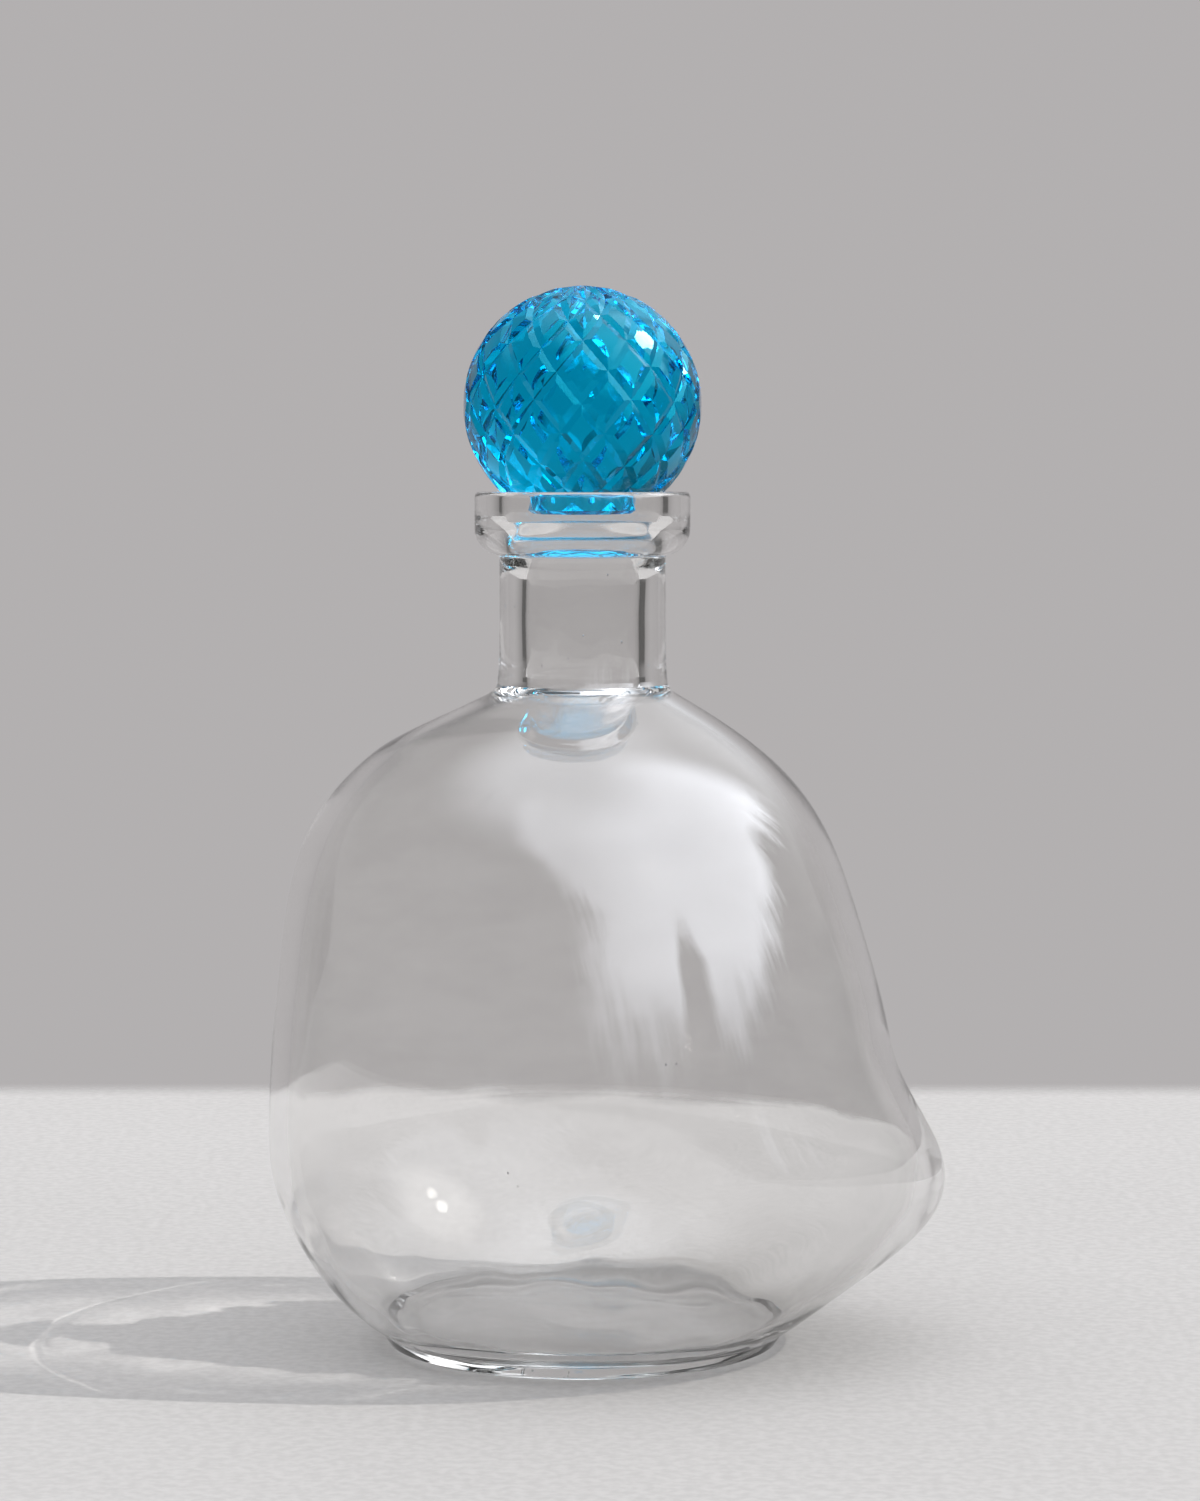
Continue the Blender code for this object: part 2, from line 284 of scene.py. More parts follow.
lip_flat = straight((COLLAR_RADIUS - LIP_ROUND, LIP_TOP), (CUP_RADIUS + LIP_ROUND, LIP_TOP))
lip_inside = arc((CUP_RADIUS + LIP_ROUND, lip_level), lip_radii, 90, 180)
cup_wall = straight((CUP_RADIUS, lip_level), cup_foot)
cup_funnel = curve(
    cup_foot,
    (cup_foot[0] + FUNNEL_SLOPE[0], cup_foot[1] + FUNNEL_SLOPE[1]),
    (BORE_RADIUS, bore_top[1] + FUNNEL_END),
    bore_top,
)
bore_wall = straight(bore_top, bore_bottom)
inside_upper = curve(
    bore_bottom,
    (BORE_RADIUS + SHOULDER_SLOPE[0], BODY_TOP + SHOULDER_SLOPE[1]),
    (inside_belly[0], BELLY_HEIGHT + INSIDE_ROUND_ABOVE),
    inside_belly,
)
inside_lower = curve(
    inside_belly,
    (inside_belly[0], BELLY_HEIGHT - INSIDE_ROUND_BELOW),
    (FLOOR_RADIUS + FLOOR_FLARE[0], FLOOR_THICKNESS + FLOOR_FLARE[1]),
    floor_edge,
)
inside_floor = straight(floor_edge, (0.0, FLOOR_THICKNESS))

inside = chained(
    waved(lip_flat, STILL),
    (waved(lip_inside, STILL), UNEASED),
    (waved(cup_wall, STILL), UNEASED),
    (waved(cup_funnel, CUP_INSIDE), CUP_EASE),
    (waved(bore_wall, BORE), UNEASED),
    (waved(inside_upper, INSIDE), BORE_EASE),
    (waved_low(inside_lower, INSIDE, LOW_INSIDE), UNEASED),
    (waved(inside_floor, FLOOR_INSIDE), FLOOR_EASE),
)
section = joined(outside, inside, UNEASED)
print("whole section", round(lengths_along(section)[-1] * 1000), "mm long")

# %% [markdown]
# Light is bent by the slope of the glass, so the mesh needs many rings where the section turns and
# few where it runs straight. The line is walked in tiny steps and a ring is set whenever enough
# length and enough turning have added up.

# %% Rings of the vessel
WALK_STEP = 0.0001
RING_SPACING = 0.0016
RING_TURN = 0.16  # radians of bend between two rings


def ring_points(line):
    places = np.arange(0.0, lengths_along(line)[-1], WALK_STEP)
    walk = points_at(line, places)
    steps = np.diff(walk[:, :2], axis=0)
    heading = np.unwrap(np.arctan2(steps[:, 1], steps[:, 0]))
    bend = np.abs(np.diff(heading, prepend=heading[0]))
    spent = np.concatenate([[0.0], np.cumsum(WALK_STEP / RING_SPACING + bend / RING_TURN)])
    wanted = np.linspace(0.0, spent[-1], math.ceil(spent[-1]) + 1)
    rings = points_at(line, np.interp(wanted, spent, places))
    rings[-1] = line[-1]
    return rings


rings = ring_points(section)
print(len(rings), "rings")

# %% [markdown]
# Turning the section gives a round bottle. The maker then pushed the hot bubble: the belly out to
# +X low down, the shoulder out to -X high up, with a slight hollow in the flank above the belly.
# Sculpting could do it by eye. A smooth swell in height and round the axis is as soft, and each push
# keeps a size that can be changed. The inside follows a little less than the outside, so that the
# glass is thickest where it bulges.

# %% Pushes
BELLY_PUSH = (0.0116, 0.0320, 0.0284, 0.0332)  # how far, at which height, reach down, reach up
FLANK_HOLLOW = (-0.0030, 0.0938, 0.0400, 0.0400)
BELLY_FOCUS = 6  # the higher, the less of the ring is pushed
SHOULDER_FOCUS = 2
SHOULDER_DROP = 0.0135
SHOULDER_PUSH = (0.0055, BODY_TOP - SHOULDER_DROP, 0.0540, SHOULDER_DROP)


def swell(heights, push):
    size, middle, reach_down, reach_up = push
    reach = np.where(heights < middle, reach_down, reach_up)
    share = np.minimum(np.abs(heights - middle) / reach, 1.0)
    return size * np.cos(share * math.pi / 2) ** 2


def pushed_out(heights, around):
    towards_belly = ((1 + np.cos(around)) / 2) ** BELLY_FOCUS
    towards_shoulder = ((1 - np.cos(around)) / 2) ** SHOULDER_FOCUS
    belly_side = swell(heights, BELLY_PUSH) + swell(heights, FLANK_HOLLOW)
    return belly_side * towards_belly + swell(heights, SHOULDER_PUSH) * towards_shoulder


print("widest push", round(float(pushed_out(np.array([BELLY_PUSH[1]]), 0.0)[0]) * 1000, 1), "mm")

# %% [markdown]
# The rings are laid out as a grid of points, pushed, and then moved along the section's own normal
# by the two waves. Blender's gradient noise gives the same waves each time for the same place.

# %% Points of the vessel
SEGMENTS = 168
INSIDE_FOLLOWS = 0.92  # share of a push that the inside of the wall follows
WAVE_SHIFTS = (Vector((3.1, 7.7, 1.9)), Vector((11.3, 2.9, 5.3)))


def section_normals(line):
    along = np.gradient(line[:, :2], axis=0)
    along /= np.linalg.norm(along, axis=1)[:, None]
    return np.stack([along[:, 1], -along[:, 0]], 1)


def waves_at(points, wavelength, shift):
    return np.array([noise.noise(Vector(point) / wavelength + shift) for point in points])


def round_axis(radius, height):
    return np.stack([radius * np.cos(around), radius * np.sin(around), height], 2)


around = np.arange(SEGMENTS) * 2 * math.pi / SEGMENTS
radius = np.repeat(rings[:, 0:1], SEGMENTS, 1)
height = np.repeat(rings[:, 1:2], SEGMENTS, 1)
on_inside = np.arange(len(rings)) > np.argmax(rings[:, 1])
follows = np.where(on_inside, INSIDE_FOLLOWS, 1.0)[:, None]
radius += pushed_out(height, around[None, :]) * follows * (radius > 0)
still_points = round_axis(radius, height).reshape(-1, 3)
grid = radius.shape
broad = waves_at(still_points, BROAD_WAVES, WAVE_SHIFTS[0]).reshape(grid) * rings[:, 2:3]
fine = waves_at(still_points, FINE_WAVES, WAVE_SHIFTS[1]).reshape(grid) * rings[:, 3:4]
normals = section_normals(rings)
radius += (broad + fine) * normals[:, 0:1] * (rings[:, 0:1] > 0)
height += (broad + fine) * normals[:, 1:2]
height[-1] = height[-1].mean()
vessel_points = round_axis(radius, height)
print("waves move the glass by up to", round(float(np.abs(broad + fine).max()) * 1000, 2), "mm")

# %% [markdown]
# The grid becomes one closed mesh: quads between neighbouring rings, and a fan at each end, where the
# first and last ring are single points on the axis. The three solids of the vessel were fused hot on
# the real one, so one mesh stands for all three. Separate shells would show false mirrors between.

# %% Mesh of the vessel
def grid_mesh(name, points):
    count_rings, count_round = points.shape[:2]
    middle = points[1:-1].reshape(-1, 3)
    vertices = [*map(tuple, middle), tuple(points[0].mean(0)), tuple(points[-1].mean(0))]
    first_end = len(middle)
    last_end = first_end + 1
    faces = []
    strips = count_rings - 3  # both end rings shrink to points
    for ring in range(strips):
        for step in range(count_round):
            following = (step + 1) % count_round
            low = ring * count_round
            high = low + count_round
            faces.append((low + step, low + following, high + following, high + step))
    last_ring = strips * count_round
    for step in range(count_round):
        following = (step + 1) % count_round
        faces.append((first_end, following, step))
        faces.append((last_end, last_ring + step, last_ring + following))
    mesh = bpy.data.meshes.new(name)
    mesh.from_pydata(vertices, [], faces)
    return mesh


vessel_mesh = grid_mesh("vessel_glass", vessel_points)
print(len(vessel_mesh.vertices), "points,", len(vessel_mesh.polygons), "faces")

# %% [markdown]
# Small bubbles, called seeds, stay in hand-made glass: a few in the walls, more in the thick base.
# A noise in the material could only paint them on. Each is a tiny closed shell drawn out upwards, with
# its faces turned inwards, so that the renderer sees air inside glass.

# %% One seed
SEED_ROUNDS = 2  # subdivisions of each shell


def add_seed(shape, place, size, stretch):
    made = bmesh.ops.create_icosphere(
        shape,
        subdivisions=SEED_ROUNDS,
        radius=size,
        matrix=Matrix.Translation(place) @ Matrix.Diagonal((1.0, 1.0, stretch, 1.0)),
    )
    faces = {face for vertex in made["verts"] for face in vertex.link_faces}
    bmesh.ops.reverse_faces(shape, faces=list(faces))


def at_turn(out, turn, up):
    """A point this far out from the axis, at an angle round it and at a height."""
    return Vector((out * math.cos(turn), out * math.sin(turn), up))


print("a quarter turn leads to", [round(part) for part in at_turn(1.0, math.pi / 2, 0.0)])

# %% [markdown]
# Their places come from a seeded draw, so they are the same each time. All lie well inside the glass:
# between underside and floor, in the middle of the neck's wall, and a little under the outside of the
# body.

# %% Places of the seeds
BASE_SEEDS = 34
BASE_SEED_REACH = 0.034  # from the axis
BASE_SEED_COVER = 0.0012  # glass over and under them
NECK_SEEDS = 8
NECK_SEED_SHIFT = 0.0015  # from the middle of the wall
NECK_SEED_RISE = 0.002  # from the seam
SIDE_SEEDS = 9
SIDE_SEED_LOWEST = 0.02
SIDE_SEED_DROP = 0.004  # from the seam
SIDE_SEED_DEPTHS = (0.0012, 0.0024)


def seed_places(draw):
    for _ in range(BASE_SEEDS):
        out = BASE_SEED_REACH * math.sqrt(draw.random())
        turn = draw.uniform(0, 2 * math.pi)
        yield at_turn(out, turn, draw.uniform(BASE_SEED_COVER, FLOOR_THICKNESS - BASE_SEED_COVER))
    for _ in range(NECK_SEEDS):
        out = (BORE_RADIUS + NECK_RADIUS) / 2 + draw.uniform(-NECK_SEED_SHIFT, NECK_SEED_SHIFT)
        turn = draw.uniform(0, 2 * math.pi)
        yield at_turn(out, turn, draw.uniform(BODY_TOP + NECK_SEED_RISE, COLLAR_BOTTOM))
    levels = rings[:, 1]
    climbing = np.flatnonzero((levels > SIDE_SEED_LOWEST) & (levels < BODY_TOP - SIDE_SEED_DROP))
    side_rings = climbing[climbing < len(rings) // 2]
    for _ in range(SIDE_SEEDS):
        ring = draw.choice(side_rings)
        step = draw.randrange(SEGMENTS)
        inward = -draw.uniform(*SIDE_SEED_DEPTHS)
        slope_out, slope_up = normals[ring]
        yield Vector(vessel_points[ring, step]) + at_turn(slope_out, around[step], slope_up) * inward


print(BASE_SEEDS + NECK_SEEDS + SIDE_SEEDS, "seeds to place")

# %% [markdown]
# Seeds and grid together are the vessel. It rides on the vessel's body and takes the place of its
# three solids.

# %% Vessel
SEED_RADII = (0.00006, 0.00020)
SEED_STRETCH = (1.0, 2.6)
SEED_DRAW = 41

seed_draw = random.Random(SEED_DRAW)
vessel_shape = bmesh.new()
vessel_shape.from_mesh(vessel_mesh)
bmesh.ops.recalc_face_normals(vessel_shape, faces=vessel_shape.faces[:])
for place in seed_places(seed_draw):
    add_seed(vessel_shape, place, seed_draw.uniform(*SEED_RADII), seed_draw.uniform(*SEED_STRETCH))
vessel_shape.to_mesh(vessel_mesh)
vessel_shape.free()
vessel_mesh.shade_smooth()
vessel_glass = bpy.data.objects.new("vessel_glass", vessel_mesh)
scene.collection.objects.link(vessel_glass)
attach(vessel_glass, "vessel")
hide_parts("blown_body", "neck_tube", "mouth_collar")
print(len(vessel_mesh.polygons), "faces in all")

# %% [markdown]
# Finishes are built from shader nodes. Writing them as Python sums keeps them short: this class wraps
# one socket, its operators add Math nodes, and its one method adds any other node.

# %% Shader sums
class Wire:
    def __init__(self, tree, socket=None):
        self.tree = tree
        self.socket = socket

    def node(self, kind, settings=None, sockets=None, output=0):
        """Adds a node: its settings first, then values or links of its sockets."""
        made = self.tree.nodes.new(kind)
        for name, value in (settings or {}).items():
            setattr(made, name, value)
        for name, value in (sockets or {}).items():
            if isinstance(value, Wire):
                self.tree.links.new(value.socket, made.inputs[name])
            else:
                made.inputs[name].default_value = value
        return Wire(self.tree, made.outputs[output] if made.outputs else None)

    def sum(self, operation, *values):
        return self.node("ShaderNodeMath", {"operation": operation}, dict(enumerate(values)))

    def __add__(self, other):
        return self.sum("ADD", self, other)

    def __radd__(self, other):
        return self.sum("ADD", other, self)

    def __sub__(self, other):
        return self.sum("SUBTRACT", self, other)

    def __rsub__(self, other):
        return self.sum("SUBTRACT", other, self)

    def __mul__(self, other):
        return self.sum("MULTIPLY", self, other)

    def __rmul__(self, other):
        return self.sum("MULTIPLY", other, self)

    def between(self, low, high):
        """0 below low, 1 above high, and a smooth ramp between them."""
        settings = {"interpolation_type": "SMOOTHSTEP"}
        sockets = {"Value": self, "From Min": low, "From Max": high}
        return self.node("ShaderNodeMapRange", settings, sockets)

    def mixed(self, first, second):
        """One colour turning into another as this value goes from 0 to 1."""
        sockets = {"Factor": self, 6: first, 7: second}  # 6 and 7 are the node's two colours
        return self.node("ShaderNodeMix", {"data_type": "RGBA"}, sockets, output=2)


print("shader sums ready")

# %% [markdown]
# Each finish starts as an empty material that knows where a point lies on its object. Painted images
# could vary it, but noise in three dimensions needs no unwrapping and shows no seam. Both kinds of glass
# end alike: a surface that bends light, and a depth that takes some of it away.

# %% Start and end of a finish
def new_finish(name, mesh):
    """A material on a mesh: the wire that builds it, and the place of each point."""
    material = bpy.data.materials.new(name)
    material.use_nodes = True
    material.node_tree.nodes.clear()
    mesh.materials.append(material)
    wire = Wire(material.node_tree)
    return wire, wire.node("ShaderNodeTexCoord", output="Object")


def clouds(wire, place, scale, detail, roughness=0.5):
    """Noise around one half: waves to a unit of length, octaves of finer waves, and their strength."""
    sockets = {"Vector": place, "Scale": scale, "Detail": detail, "Roughness": roughness}
    return wire.node("ShaderNodeTexNoise", None, sockets)


def end_glass(wire, look, loss):
    surface = wire.node("ShaderNodeBsdfPrincipled", None, {"Transmission Weight": 1.0, **look})
    depth = wire.node("ShaderNodeVolumeAbsorption", None, loss)
    wire.node("ShaderNodeOutputMaterial", None, {"Surface": surface, "Volume": depth})


print("finishes ready")

# %% [markdown]
# Clear glass looks like nothing until something disturbs it. Four things do: the faint grey of the
# glass itself, which shows where it is thick, a thin film left by wiping, a few smudges that blur
# what is seen through them, and slow ripples left by the fire. The grey is a constant Volume
# Absorption, the film feeds Base Color, the smudges Roughness, and the ripples are a Bump.

# %% Clear glass
GLASS_IOR = 1.5
GLASS_TINTS = ((1.0, 0.997, 0.993, 1.0), (0.950, 0.946, 0.942, 1.0))  # clean, and under the film
GLASS_GREY = {"Color": (0.68, 0.69, 0.67, 1.0), "Density": 5.0}
WIPE_SCALE = (35.0, 35.0, 110.0)  # waves of the film to a metre, closest up and down
WIPE_TILT = (0.3, 0.2, 0.0)
WIPE_EDGES = (0.36, 0.66)
WIPE_SHARE = 0.7
PATCH_EDGES = (0.35, 0.65)
PATCH_SHARE = 0.3
SMUDGE_EDGES = (0.48, 0.72)
SMUDGE_PATCHES = (0.40, 0.65)
GLASS_ROUGHNESS = 0.015
SMUDGE_ROUGHNESS = 0.055
RIPPLE_HEIGHT = {"Strength": 0.012, "Distance": 0.0004}

wire, place = new_finish("clear_glass", vessel_mesh)
patches = clouds(wire, place, scale=22.0, detail=3.0)
marks = clouds(wire, place, scale=60.0, detail=6.0)
smudges = marks.between(*SMUDGE_EDGES) * patches.between(*SMUDGE_PATCHES)
turned = {"Vector": place, "Scale": WIPE_SCALE, "Rotation": WIPE_TILT}
wipes = clouds(wire, wire.node("ShaderNodeMapping", None, turned), scale=1.0, detail=4.0, roughness=0.6)
film = wipes.between(*WIPE_EDGES) * WIPE_SHARE + patches.between(*PATCH_EDGES) * PATCH_SHARE
fire_waves = clouds(wire, place, scale=140.0, detail=2.0)
ripples = wire.node("ShaderNodeBump", None, {"Height": fire_waves, **RIPPLE_HEIGHT})
clear_look = {
    "Base Color": film.mixed(*GLASS_TINTS),
    "Roughness": GLASS_ROUGHNESS + smudges * SMUDGE_ROUGHNESS,
    "Normal": ripples,
    "IOR": GLASS_IOR,
}
end_glass(wire, clear_look, GLASS_GREY)
print("clear glass has", len(wire.tree.nodes), "nodes")

# %% [markdown]
# The stopper is a ball crossed by two sets of slanting mitre cuts, which leave lozenges of the round
# surface between them. A Boolean with thirty wedges would be slow and leave ragged meshes. Instead the
# ball is drawn in the cuts' own two directions, so that mesh lines run along every groove. Cutting by
# hand is not exact, so each cut is turned a little by a seeded draw.

# %% Lattice of cuts
CUTS_ROUND = 15  # cuts in each direction
CUT_TIERS = 6  # crossings from the equator to a pole
CUT_STEP = 2 * math.pi / CUTS_ROUND
TIER_STEP = math.pi / 2 / CUT_TIERS
CUT_SLIPS = 0.055  # radians, the most that one cut is out of place
SLIP_DRAW = 7

slip_draw = random.Random(SLIP_DRAW)
slips = [[slip_draw.uniform(-CUT_SLIPS, CUT_SLIPS) for _ in range(CUTS_ROUND)] for _ in range(2)]


def kept_within(value, lowest, highest):
    return max(lowest, min(highest, value))


def slip_at(direction, number):
    """How far the cut at this number is out of place, blended between neighbouring cuts."""
    whole = math.floor(number)
    share = number - whole
    row = slips[direction]
    return row[whole % CUTS_ROUND] * (1 - share) + row[(whole + 1) % CUTS_ROUND] * share


def on_ball(falling, rising):
    """Longitude and latitude of a place given by its numbers along the two sets of cuts."""
    first = falling * CUT_STEP + slip_at(0, falling)
    second = rising * CUT_STEP + slip_at(1, rising)
    latitude = (second - first) / CUT_STEP * TIER_STEP
    return (first + second) / 2, kept_within(latitude, -math.pi / 2, math.pi / 2)


print(CUTS_ROUND * (2 * CUT_TIERS - 1), "whole lozenges")

# %% [markdown]
# Each groove is a V with straight flanks, as a mitre wheel leaves it. Its real width stays the same all
# over the ball, so in lattice numbers it takes a larger share near the poles, where the cuts crowd
# together. Mesh lines stand at its bottom, half way up and at its edge, and more cross the lozenge.

# %% Grooves
BALL_RADIUS = 0.0250
GROOVE_HALF_WIDTH = 0.0014
GROOVE_LINES = (0.0, 0.5)  # mesh lines across half a groove, in shares of it
LOZENGE_LINES = 6  # mesh lines across the round part of a lozenge
WIDEST_SHARE = 0.46
NARROWEST = 0.02  # keeps the spacing above zero at the poles


def lattice_spacing(latitude):
    """Distance between neighbouring parallel cuts at a latitude."""
    across = BALL_RADIUS * max(math.cos(latitude), NARROWEST) * CUT_STEP / 2
    up = BALL_RADIUS * TIER_STEP
    return 2 * across * up / math.hypot(across, up)


def groove_share(latitude):
    return min(GROOVE_HALF_WIDTH / lattice_spacing(latitude), WIDEST_SHARE)


def lines_across(share):
    """Places of the mesh lines from one cut to the next, where a groove's half takes this share."""
    near = [share * line for line in GROOVE_LINES]
    round_part = [share + (1 - 2 * share) * line / (LOZENGE_LINES - 1) for line in range(LOZENGE_LINES)]
    return near + round_part + [1 - place for place in reversed(near)]


print("grooves take", round(2 * groove_share(0.0) * 100), "% of a lozenge at the equator")

# %% [markdown]
# A point of the ball lies on the round, less the depth of the nearest groove. The lozenges are ground a
# little flat too, most in their middle, which is why single ones flash in the light.

# %% Points of the ball
GROOVE_SLOPE = 0.43
LOZENGE_FLAT = 0.00009  # how far a lozenge's middle is ground below the round
POLE_LEVEL = 0.001  # all points this close to a pole are the pole itself
CUT_FACING = math.radians(-88.8)  # a crossing faces the viewer


def ball_point(cell, line_numbers):
    """A point of one lozenge: its cell's two numbers, and the numbers of two mesh lines across it."""
    rough = [cell[i] + lines_across(groove_share(0.0))[line_numbers[i]] for i in (0, 1)]
    latitude = kept_within((rough[1] - rough[0]) * TIER_STEP, -math.pi / 2, math.pi / 2)
    lines = lines_across(groove_share(latitude))
    places = [lines[number] for number in line_numbers]
    longitude, latitude = on_ball(cell[0] + places[0], cell[1] + places[1])
    level = math.cos(latitude)
    if level < POLE_LEVEL:
        return Vector((0.0, 0.0, math.copysign(BALL_RADIUS, latitude)))
    share = groove_share(latitude)
    spacing = lattice_spacing(latitude)
    nearest = min(min(place, 1 - place) for place in places) * spacing
    out = BALL_RADIUS - GROOVE_SLOPE * max(share * spacing - nearest, 0.0)
    on_lozenge = [kept_within((place - share) / (1 - 2 * share), 0.0, 1.0) for place in places]
    out -= LOZENGE_FLAT * math.prod(4 * part * (1 - part) for part in on_lozenge) * level**2
    return at_turn(out * level, longitude + CUT_FACING, out * math.sin(latitude))


print("grooves are", round(GROOVE_SLOPE * GROOVE_HALF_WIDTH * 1000, 2), "mm deep")

# %% [markdown]
# Where two grooves cross, their slopes meet on the diagonal, so the quads there are split along it. The
# lozenges are then welded into one skin. Creases are marked later, wherever two faces meet at more than
# a slight angle.

# %% Mesh of the ball
WELD = 0.000002


def add_lozenge(shape, cell):
    count = len(lines_across(0.0))
    points = {}
    for first in range(count):
        for second in range(count):
            points[first, second] = shape.verts.new(ball_point(cell, (first, second)))
    for first in range(count - 1):
        for second in range(count - 1):
            quad = [points[first + i, second + j] for i, j in ((0, 0), (0, 1), (1, 1), (1, 0))]
            if first == second:
                shape.faces.new((quad[0], quad[1], quad[2]))
                shape.faces.new((quad[0], quad[2], quad[3]))
            elif first + second == count - 2:
                shape.faces.new((quad[0], quad[1], quad[3]))
                shape.faces.new((quad[1], quad[2], quad[3]))
            else:
                shape.faces.new(quad)


ball_shape = bmesh.new()
for falling in range(CUTS_ROUND):
    for tier in range(-CUT_TIERS - 1, CUT_TIERS + 2):
        add_lozenge(ball_shape, (falling, falling + tier))
bmesh.ops.remove_doubles(ball_shape, verts=ball_shape.verts[:], dist=WELD)
bmesh.ops.dissolve_degenerate(ball_shape, edges=ball_shape.edges[:], dist=WELD)
print(len(ball_shape.faces), "faces of the whole ball")

# %% [markdown]
# The ball rests on the lip along one ring, and just below it the real one is ground flat. The height of
# its seat follows from the radii of ball and lip, and a plane cuts away what lies under the flat.

# %% Seat of the ball
SEAT_GAP = 0.0003  # between ball and lip, as in the solids
FLAT_DROP = 0.0004  # from the ring that rests to the flat
CUT_WELD = 0.00001
seat_reach = BALL_RADIUS + LIP_ROUND + SEAT_GAP
seat_rise = math.sqrt(seat_reach**2 - (CUP_RADIUS + LIP_ROUND) ** 2)
BALL_HEIGHT = lip_level + seat_rise
FLAT_LEVEL = -seat_rise * BALL_RADIUS / seat_reach - FLAT_DROP  # from the ball's centre

bmesh.ops.bisect_plane(
    ball_shape,
    geom=ball_shape.verts[:] + ball_shape.edges[:] + ball_shape.faces[:],
    plane_co=(0.0, 0.0, FLAT_LEVEL),
    plane_no=(0.0, 0.0, -1.0),
    clear_outer=True,
)
bmesh.ops.remove_doubles(ball_shape, verts=ball_shape.verts[:], dist=CUT_WELD)
print(len(ball_shape.faces), "faces of cut ball above the flat")

# %% [markdown]
# A short stub under the flat hangs in the cup and keeps the ball from rolling off. It is ground in nine
# facets, which twist half a side on their way down and sparkle through the collar. A cone with few
# sides could be joined on by a Boolean. Here the open edge of the cut is extruded from ring to ring,
# which carries the ball's own points on, so that flat, stub and ball stay one closed mesh.

# %% Stub
STUB_LENGTH = 0.0045
STUB_CLEARANCE = 0.0055  # to the wall of the cup
STUB_BEVEL = 0.0010
STUB_EASE = 0.0005  # round where the stub leaves the flat
STUB_SIDES = 9
STUB_ROWS = 6
STUB_RADIUS = CUP_RADIUS - STUB_CLEARANCE
stub_side = STUB_LENGTH - STUB_EASE - STUB_BEVEL
stub_levels = [FLAT_LEVEL - STUB_EASE - stub_side * row / STUB_ROWS for row in range(STUB_ROWS + 1)]
stub_line = [(STUB_RADIUS + STUB_EASE, FLAT_LEVEL)]
stub_line += [(STUB_RADIUS, level) for level in stub_levels]
stub_line += [(STUB_RADIUS - STUB_BEVEL, FLAT_LEVEL - STUB_LENGTH)]


def many_sided(turn, shift):
    """Share of the full radius at which a ring of flat sides lies, turned on by a share of one side."""
    side = 2 * math.pi / STUB_SIDES
    from_middle = (turn + shift * side) % side - side / 2
    return math.cos(side / 2) / math.cos(from_middle)


def stub_radius(radius, turn, level):
    """A ring of flat sides at the top turns into one half a side on at the bottom."""
    down = kept_within((stub_levels[0] - level) / stub_side, 0.0, 1.0)
    return radius * (many_sided(turn, 0.0) * (1 - down) + many_sided(turn, 0.5) * down)


open_edges = [edge for edge in ball_shape.edges if edge.is_boundary]
for ring_radius, level in stub_line:
    made = bmesh.ops.extrude_edge_only(ball_shape, edges=open_edges)["geom"]
    open_edges = [item for item in made if isinstance(item, bmesh.types.BMEdge) and item.is_boundary]
    for vertex in {vertex for edge in open_edges for vertex in edge.verts}:
        turn = math.atan2(vertex.co.y, vertex.co.x)
        vertex.co = at_turn(stub_radius(ring_radius, turn, level), turn, level)
bmesh.ops.holes_fill(ball_shape, edges=open_edges)
bmesh.ops.recalc_face_normals(ball_shape, faces=ball_shape.faces[:])
loose = sum(1 for edge in ball_shape.edges if not edge.is_manifold)
print(len(ball_shape.faces), "faces,", loose, "edges that are not closed")

# %% [markdown]
# The ball has a few seeds of its own, the largest close under the front. Then it is lifted to its seat
# and rides on the stopper's body, so that it leaves the rim when the joint lifts.

# %% Stopper
LARGE_SEED_PLACE = Vector((0.0005, -0.0190, 0.0070))
LARGE_SEED_RADIUS = 0.00055
BALL_SEEDS = 7
BALL_SEED_RADII = (0.00010, 0.00022)
BALL_SEED_PLACES = (0.3, 0.85)  # in shares of the ball's radius
UNSTRETCHED = 1.0
CREASE = math.radians(20)

add_seed(ball_shape, LARGE_SEED_PLACE, LARGE_SEED_RADIUS, UNSTRETCHED)
for _ in range(BALL_SEEDS):
    way = Vector([slip_draw.gauss(0, 1) for _ in range(3)]).normalized()
    out = slip_draw.uniform(*BALL_SEED_PLACES) * BALL_RADIUS
    add_seed(ball_shape, way * out, slip_draw.uniform(*BALL_SEED_RADII), UNSTRETCHED)
ball_mesh = bpy.data.meshes.new("stopper_ball_glass")
ball_shape.to_mesh(ball_mesh)
ball_shape.free()
ball_mesh.shade_smooth()
ball_mesh.set_sharp_from_angle(angle=CREASE)
stopper_ball = bpy.data.objects.new("cut_ball", ball_mesh)
stopper_ball.location = (0.0, 0.0, BALL_HEIGHT)
scene.collection.objects.link(stopper_ball)
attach(stopper_ball, "stopper")
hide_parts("stopper_ball")
print("ball centre at", round(BALL_HEIGHT, 5), "m")

# %% [markdown]
# The blue is in the glass, not on it: light loses its red within a few millimetres, and on longer ways
# some green and a little blue. A Base Color alone would be as blue in thin places as in thick ones. So
# Volume Absorption takes colour by the length of the way, and Base Color tints what enters and leaves,
# in two shades that cloud. Specular Tint keeps mirrored light from greying the blue, and a Bump gives
# the fine marks of polishing.

